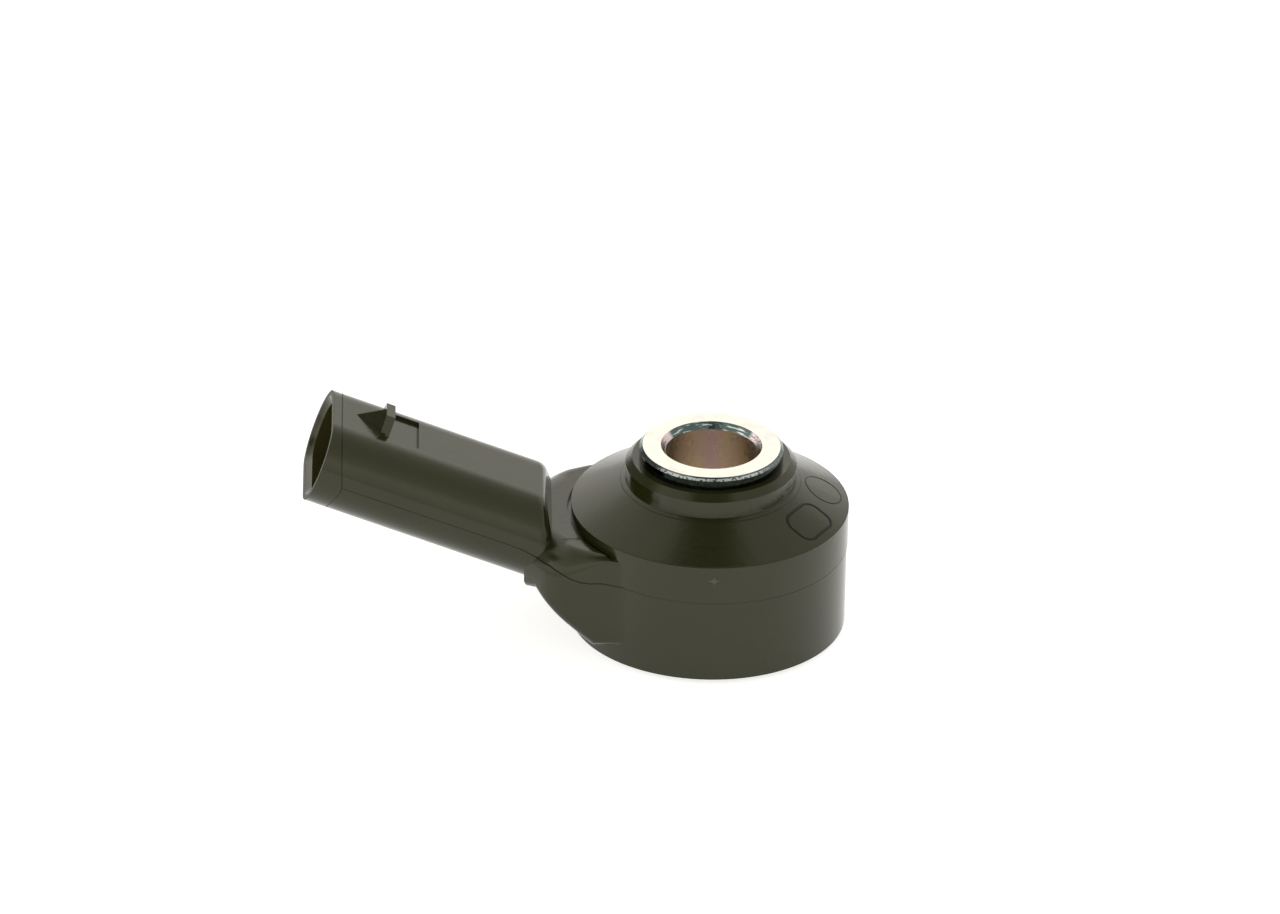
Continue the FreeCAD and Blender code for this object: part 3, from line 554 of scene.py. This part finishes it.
def add_marks():
    material, tree = new_material("moulded_mark")
    grain = tree.noise(tree.place(), MARK_GRAIN)
    # Painted shade: the rims and the arrow are coloured near black for the shade along them
    tree.surface(tree.add("ShaderNodeBsdfPrincipled", {
        "Base Color": tree.between(grain, (MARK_SHADE_DARK, MARK_SHADE_PALE), NOISE_LOW, NOISE_HIGH),
        "Roughness": tree.spread(grain, *MARK_ROUGHNESS),
        "Specular IOR Level": MARK_SHINE,
        "Normal": tree.bump(grain, GRAIN_DEPTH)}))
    disc = oval(DISC_HALF_ACROSS, DISC_HALF_DOWN, DISC_SHIFT)
    raised_line("disc_rim", [on_cone(0.0, DISC_DISTANCE, *spot) for spot in disc], *DISC_LINE, material)
    tag = rounded(FRAME_HALF_ACROSS, FRAME_HALF_DOWN, FRAME_CORNER)
    tag = [on_cone(FRAME_AZIMUTH, FRAME_DISTANCE, *spot) for spot in tag]
    raised_line("frame_rim", tag, *FRAME_LINE, material)
    tail, tip = (ARROW_TAIL, ARROW_Y), (ARROW_TIP, ARROW_Y)
    barbs = [(ARROW_TIP - BARB_LENGTH, ARROW_Y + way * BARB_SPREAD) for way in (1, -1)]
    raised_line("arrow_line", [tail, tip], *ARROW_LINE, material, closed=False)
    raised_line("arrow_head", [barbs[0], tip, barbs[1]], *BARB_LINE, material, closed=False)


# Stage
def make_floor():
    mesh = bpy.data.meshes.new("floor")
    corners = ((-1, -1), (1, -1), (1, 1), (-1, 1))
    mesh.from_pydata([(x * FLOOR_HALF, y * FLOOR_HALF, 0) for x, y in corners], [], [(0, 1, 2, 3)])
    floor = bpy.data.objects.new("floor", mesh)
    bpy.context.scene.collection.objects.link(floor)
    material, tree = new_material("floor")
    path = tree.add("ShaderNodeLightPath").outputs
    seen = tree.larger(path["Is Camera Ray"], path["Is Glossy Ray"])
    seen = tree.larger(seen, path["Is Transmission Ray"])
    diffuse = tree.add("ShaderNodeBsdfDiffuse", {"Color": FLOOR_COLOUR})
    glow = tree.add("ShaderNodeEmission", {
        "Color": FLOOR_GLOW_TINT, "Strength": tree.times(seen, FLOOR_GLOW)})
    tree.surface(tree.add("ShaderNodeAddShader", {0: diffuse.outputs[0], 1: glow.outputs[0]}))
    mesh.materials.append(material)


def overhead_gap(tree, across, along, height):
    """How much light is left round the gap overhead: 1 outside it."""
    wide = tree.math("DIVIDE", across, GAP_HALF_WIDTH)
    long = tree.math("DIVIDE", tree.minus(along, GAP_MIDDLE), GAP_HALF_LENGTH)
    off = tree.math("ADD", tree.times(wide, wide), tree.times(long, long))
    left = tree.fade(off, GAP_EDGE_FROM, GAP_EDGE_TO, GAP_LIGHT, 1.0)
    return tree.larger(left, tree.fade(height, GAP_FULL_HEIGHT, GAP_LEAST_HEIGHT, 0.0, 1.0))


def side_gap(tree, way):
    """How much light is left round the gap to the left: 1 outside it."""
    long = tree.dot(way, SIDE_GAP_LONG / SIDE_GAP_HALF_LENGTH)
    wide = tree.dot(way, SIDE_GAP_MIDDLE.cross(SIDE_GAP_LONG) / SIDE_GAP_HALF_WIDTH)
    left = tree.fade(tree.length(long, wide), SIDE_GAP_EDGE_FROM, SIDE_GAP_EDGE_TO, SIDE_GAP_LIGHT, 1.0)
    return tree.larger(left, tree.below(tree.dot(way, SIDE_GAP_MIDDLE), SIDE_GAP_REACH))


def light_world():
    world = bpy.data.worlds.new("studio")
    bpy.context.scene.world = world
    world.use_nodes = True
    tree = Nodes(world.node_tree)
    way = tree.add("ShaderNodeTexCoord").outputs["Generated"]
    parts = tree.add("ShaderNodeSeparateXYZ", {"Vector": way}).outputs
    across, along, height = (parts[letter] for letter in "XYZ")
    strength = tree.times(
        tree.ramp(height, LIGHT_BY_HEIGHT), tree.fade(across, DIM_FROM, DIM_TO, 1.0, 1.0 - RIGHT_DIMMING),
        overhead_gap(tree, across, along, height), side_gap(tree, way))
    light = tree.add("ShaderNodeBackground", {"Color": (*LIGHT_TINT, 1.0), "Strength": strength})
    white = tree.add("ShaderNodeBackground", {"Color": (1.0, 1.0, 1.0, 1.0), "Strength": 1.0})
    seen = tree.add("ShaderNodeLightPath").outputs["Is Camera Ray"]
    mixed = tree.add("ShaderNodeMixShader", {0: seen, 1: light.outputs[0], 2: white.outputs[0]})
    tree.add("ShaderNodeOutputWorld", {"Surface": mixed.outputs[0]})


def add_camera():
    rise, yaw, roll = CAMERA_ELEVATION, CAMERA_YAW, CAMERA_ROLL
    back = Vector((-math.cos(rise) * math.sin(yaw), -math.cos(rise) * math.cos(yaw), math.sin(rise)))
    right = Vector((math.cos(yaw), -math.sin(yaw), 0.0))
    up = back.cross(right)
    side = right * math.cos(roll) + up * math.sin(roll)
    top = up * math.cos(roll) - right * math.sin(roll)
    camera = bpy.data.objects.new("camera", bpy.data.cameras.new("camera"))
    camera.data.sensor_width = SENSOR
    camera.data.lens = LENS
    camera.data.clip_start, camera.data.clip_end = CLIP_START, CLIP_END
    place = Matrix((side, top, back)).transposed().to_4x4()
    place.translation = CAMERA_TARGET + back * CAMERA_DISTANCE
    camera.matrix_world = place
    bpy.context.scene.collection.objects.link(camera)
    bpy.context.scene.camera = camera


dress_nodes()
add_marks()
make_floor()
light_world()
add_camera()
bpy.context.scene.view_settings.view_transform = "Standard"
